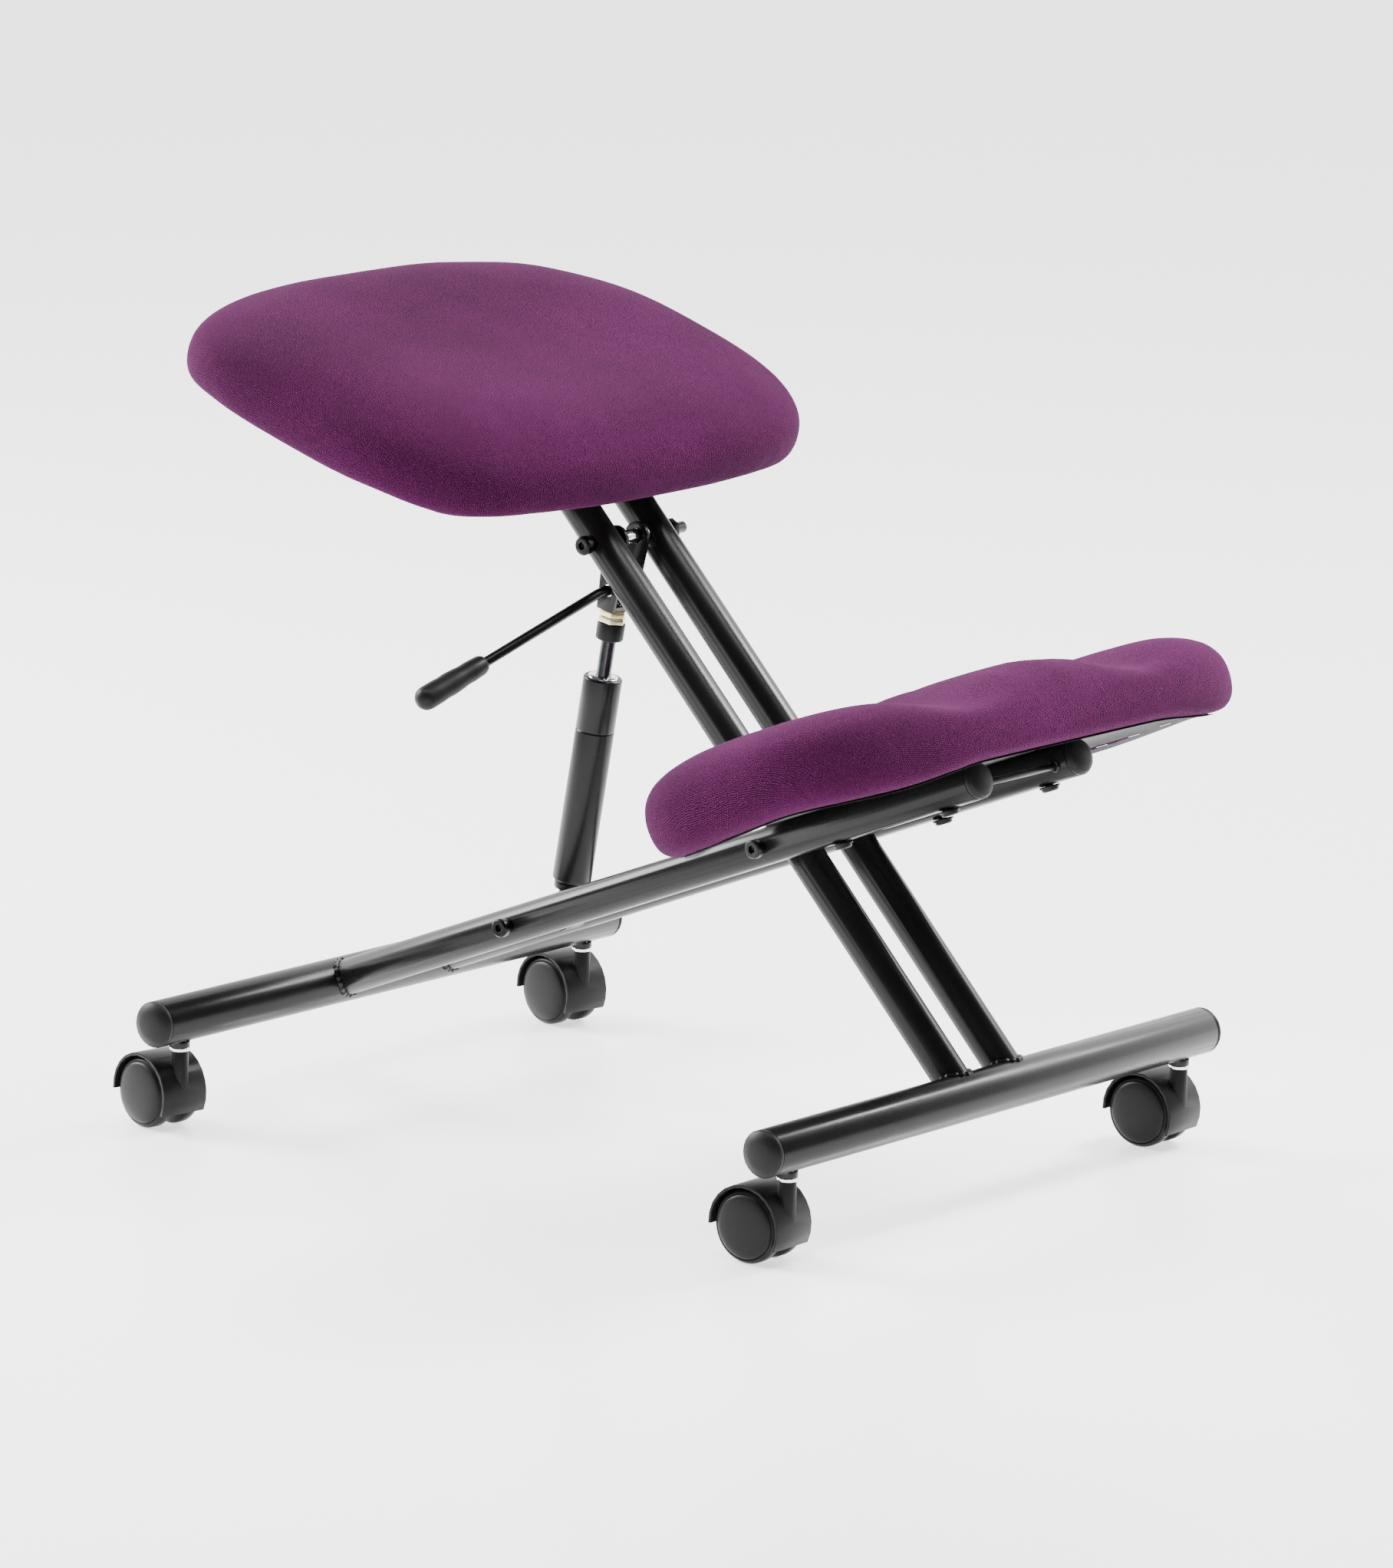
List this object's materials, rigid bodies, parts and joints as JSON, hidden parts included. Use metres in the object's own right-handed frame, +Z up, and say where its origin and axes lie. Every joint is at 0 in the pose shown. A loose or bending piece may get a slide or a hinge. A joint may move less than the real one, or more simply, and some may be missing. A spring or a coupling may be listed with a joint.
{
  "type": "kneeling chair",
  "caption": "Kneeling chair: crossed black tube frames on twin-wheel castors, a tilted fabric seat, a fabric knee pad and a gas strut with a hand lever.",
  "frame": {"origin": "on the floor, under the middle of the chair's bounding box", "axes": "+X forwards from the seat to the knee pad, +Y to the sitter's left, +Z up"},
  "size_m": [0.6545, 0.4856, 0.5656],
  "materials": {
    "frame_paint": "semi-gloss black powder coat",
    "black_plastic": "moulded black plastic, fine grain",
    "castor_plastic": "moulded black plastic, satin",
    "black_fasteners": "black oxide",
    "bright_steel": "bright plated",
    "yellow_zinc": "yellow passivated zinc",
    "rod_steel": "dark nitrided, polished",
    "plywood": "raw plywood",
    "purple_fabric": "fine knitted weave over foam"
  },
  "bodies": {
    "kneeler_frame": {"rear_crossbar": "frame_paint", "rear_bar_cap_right": "black_plastic", "rear_bar_cap_left": "black_plastic", "castor_stem_rear_right": "bright_steel", "castor_stem_rear_left": "bright_steel", "kneeler_tube_right": "frame_paint", "kneeler_tube_left": "frame_paint", "kneeler_tube_cap_right": "black_plastic", "kneeler_tube_cap_left": "black_plastic", "kneeler_cross_rod": "frame_paint", "knee_board": "plywood", "knee_pad": "purple_fabric", "knee_board_bolt_1": "black_fasteners", "knee_board_bolt_2": "black_fasteners", "knee_board_bolt_3": "black_fasteners", "knee_board_bolt_4": "black_fasteners", "pivot_bolt": "black_fasteners", "pivot_nut": "black_fasteners", "pivot_washer_right": "bright_steel", "pivot_washer_left": "bright_steel", "strut_lower_bolt": "black_fasteners", "strut_lower_nut": "black_fasteners", "strut_lower_sleeve": "black_fasteners"},
    "seat_frame": {"front_crossbar": "frame_paint", "front_bar_cap_right": "black_plastic", "front_bar_cap_left": "black_plastic", "castor_stem_front_right": "bright_steel", "castor_stem_front_left": "bright_steel", "seat_tube_right": "frame_paint", "seat_tube_left": "frame_paint", "seat_plate": "frame_paint", "seat_board": "plywood", "seat_pad": "purple_fabric", "strut_upper_bolt": "black_fasteners", "strut_upper_nut": "black_fasteners", "clevis_spacer": "bright_steel", "clevis_washer": "bright_steel"},
    "strut_body": {"strut_cylinder": "frame_paint", "strut_rod_guide": "bright_steel", "strut_lower_eye": "black_fasteners"},
    "strut_piston": {"strut_rod": "rod_steel", "rod_collar": "black_plastic", "locknut_lower": "yellow_zinc", "locknut_upper": "yellow_zinc", "release_clevis": "frame_paint"},
    "release_valve": {"release_pin": "bright_steel"},
    "hand_lever": {"lever_rod": "frame_paint", "lever_grip": "black_plastic"},
    "castor_rear_right": {"castor_hood_rear_right": "castor_plastic"},
    "wheel_rear_right_right": {"castor_wheel_rear_right_right": "castor_plastic"},
    "wheel_rear_right_left": {"castor_wheel_rear_right_left": "castor_plastic"},
    "castor_rear_left": {"castor_hood_rear_left": "castor_plastic"},
    "wheel_rear_left_right": {"castor_wheel_rear_left_right": "castor_plastic"},
    "wheel_rear_left_left": {"castor_wheel_rear_left_left": "castor_plastic"},
    "castor_front_right": {"castor_hood_front_right": "castor_plastic"},
    "wheel_front_right_right": {"castor_wheel_front_right_right": "castor_plastic"},
    "wheel_front_right_left": {"castor_wheel_front_right_left": "castor_plastic"},
    "castor_front_left": {"castor_hood_front_left": "castor_plastic"},
    "wheel_front_left_right": {"castor_wheel_front_left_right": "castor_plastic"},
    "wheel_front_left_left": {"castor_wheel_front_left_left": "castor_plastic"}
  },
  "joints": [
    {"name": "seat_fold", "type": "hinge", "parent": "kneeler_frame", "child": "seat_frame", "pos_m": [0.1113, 0, 0.231], "axis": [0, 1, 0], "range_deg": [-5, 17]},
    {"name": "strut_tilt", "type": "hinge", "parent": "kneeler_frame", "child": "strut_body", "pos_m": [-0.10702, 0, 0.1446], "axis": [0, 1, 0], "range_deg": [-2.8, 9.3]},
    {"name": "strut_extend", "type": "slide", "parent": "strut_body", "child": "strut_piston", "axis": [0.1756, 0, 0.9845], "range_m": [-0.0169, 0.0571]},
    {"name": "lever_lift", "type": "hinge", "parent": "strut_piston", "child": "hand_lever", "pos_m": [-0.06593, -0.013, 0.37496], "axis": [-0.9845, 0, 0.1756], "range_deg": [0, 9], "stiffness_Nm_per_rad": 0.8, "springref_deg": -8.59},
    {"name": "release_travel", "type": "slide", "parent": "strut_piston", "child": "release_valve", "axis": [-0.1756, 0, -0.9845], "range_m": [0, 0.0014]},
    {"name": "swivel_rear_right", "type": "hinge", "parent": "kneeler_frame", "child": "castor_rear_right", "pos_m": [-0.2753, -0.2125, 0.05], "axis": [0, 0, 1], "continuous": true},
    {"name": "roll_rear_right_right", "type": "hinge", "parent": "castor_rear_right", "child": "wheel_rear_right_right", "pos_m": [-0.29639, -0.20954, 0.02479], "axis": [0.1392, 0.9903, 0], "continuous": true},
    {"name": "roll_rear_right_left", "type": "hinge", "parent": "castor_rear_right", "child": "wheel_rear_right_left", "pos_m": [-0.29639, -0.20954, 0.02479], "axis": [0.1392, 0.9903, 0], "continuous": true},
    {"name": "swivel_rear_left", "type": "hinge", "parent": "kneeler_frame", "child": "castor_rear_left", "pos_m": [-0.2753, 0.2125, 0.05], "axis": [0, 0, 1], "continuous": true},
    {"name": "roll_rear_left_right", "type": "hinge", "parent": "castor_rear_left", "child": "wheel_rear_left_right", "pos_m": [-0.29639, 0.21546, 0.02479], "axis": [0.1392, 0.9903, 0], "continuous": true},
    {"name": "roll_rear_left_left", "type": "hinge", "parent": "castor_rear_left", "child": "wheel_rear_left_left", "pos_m": [-0.29639, 0.21546, 0.02479], "axis": [0.1392, 0.9903, 0], "continuous": true},
    {"name": "swivel_front_right", "type": "hinge", "parent": "seat_frame", "child": "castor_front_right", "pos_m": [0.2567, -0.2125, 0.05], "axis": [0, 0, 1], "continuous": true},
    {"name": "roll_front_right_right", "type": "hinge", "parent": "castor_front_right", "child": "wheel_front_right_right", "pos_m": [0.23541, -0.21324, 0.02479], "axis": [-0.0349, 0.9994, 0], "continuous": true},
    {"name": "roll_front_right_left", "type": "hinge", "parent": "castor_front_right", "child": "wheel_front_right_left", "pos_m": [0.23541, -0.21324, 0.02479], "axis": [-0.0349, 0.9994, 0], "continuous": true},
    {"name": "swivel_front_left", "type": "hinge", "parent": "seat_frame", "child": "castor_front_left", "pos_m": [0.2567, 0.2125, 0.05], "axis": [0, 0, 1], "continuous": true},
    {"name": "roll_front_left_right", "type": "hinge", "parent": "castor_front_left", "child": "wheel_front_left_right", "pos_m": [0.23542, 0.21157, 0.02479], "axis": [-0.0436, 0.999, 0], "continuous": true},
    {"name": "roll_front_left_left", "type": "hinge", "parent": "castor_front_left", "child": "wheel_front_left_left", "pos_m": [0.23542, 0.21157, 0.02479], "axis": [-0.0436, 0.999, 0], "continuous": true}
  ],
  "couplings": [
    {"joint": "strut_tilt", "follows": "seat_fold", "ratio": 0.5395},
    {"joint": "strut_extend", "follows": "seat_fold", "m_per_rad": 0.192},
    {"joint": "release_travel", "follows": "lever_lift", "m_per_rad": 0.0085}
  ]
}
